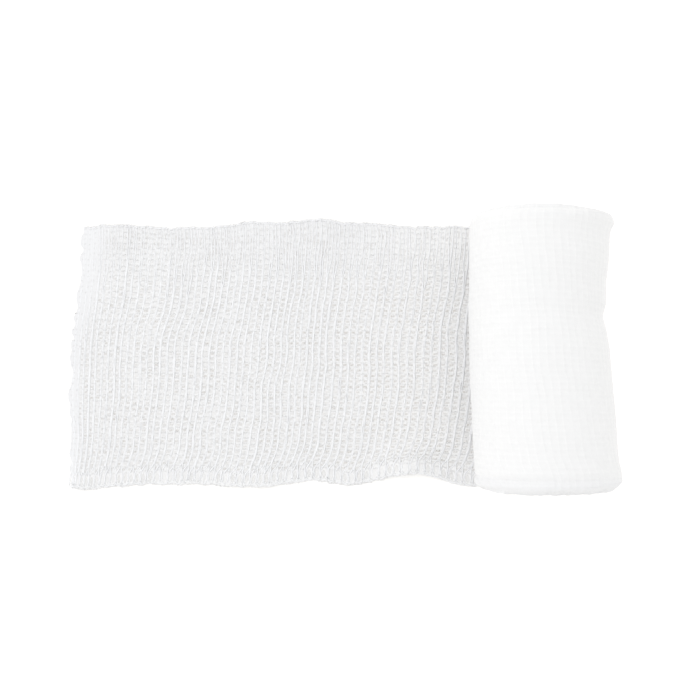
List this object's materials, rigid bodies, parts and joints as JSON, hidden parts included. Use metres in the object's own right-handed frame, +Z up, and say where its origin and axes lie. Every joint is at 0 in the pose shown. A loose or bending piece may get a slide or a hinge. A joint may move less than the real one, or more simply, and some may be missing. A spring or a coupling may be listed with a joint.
{
  "type": "gauze bandage roll",
  "caption": "Soft white roll of open-weave stretch gauze bandage with its loose end rolled out flat, for wrapping and holding dressings.",
  "frame": {"origin": "on the resting surface, below the middle of the whole part's box", "axes": "+Z up, +X along the strip from its cut end to the roll, +Y along the roll's axis"},
  "size_m": [0.1534, 0.0776, 0.0403],
  "materials": {
    "wound_gauze": "matt white crinkled open-weave cotton gauze, many layers deep",
    "single_gauze": "matt white crinkled open-weave cotton gauze, one see-through layer"
  },
  "bodies": {
    "root": {"roll": "wound_gauze", "loose_end": "single_gauze"}
  },
  "joints": []
}
